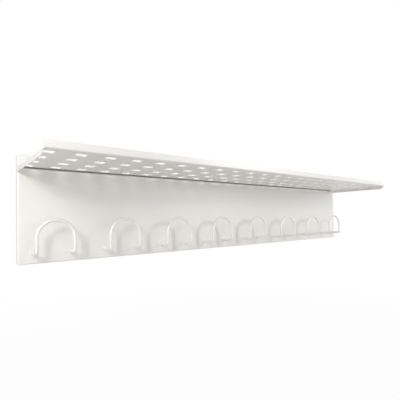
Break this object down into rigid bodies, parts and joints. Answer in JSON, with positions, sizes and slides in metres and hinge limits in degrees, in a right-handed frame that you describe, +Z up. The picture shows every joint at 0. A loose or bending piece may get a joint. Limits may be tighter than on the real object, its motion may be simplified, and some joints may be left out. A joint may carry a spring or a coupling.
{
  "type": "coat rack with hat shelf",
  "caption": "Wall coat rack: folded steel back panel with a row of bent-rod loop hooks under a perforated steel hat shelf.",
  "frame": {"origin": "on the wall plane, midway along the line of wall screws, which runs above the shelf", "axes": "+X along the rack to the right as seen from the room, +Y into the wall, +Z up"},
  "size_m": [1.2, 0.226, 0.226],
  "materials": {
    "panel_coat": "satin warm white powder coat",
    "shelf_coat": "satin warm white powder coat",
    "hook_coat": "satin warm white powder coat",
    "zinc": "bright zinc plate",
    "spacer_plastic": "natural nylon"
  },
  "bodies": {
    "root": {"back_panel": "panel_coat", "shelf_deck": "shelf_coat", "hook_1": "hook_coat", "hook_2": "hook_coat", "hook_3": "hook_coat", "hook_4": "hook_coat", "hook_5": "hook_coat", "hook_6": "hook_coat", "hook_7": "hook_coat", "hook_8": "hook_coat", "hook_washers": "zinc", "hook_nuts": "zinc", "deck_screws": "zinc", "deck_washers": "zinc", "deck_standoffs": "zinc", "wall_spacers": "spacer_plastic"}
  },
  "joints": []
}
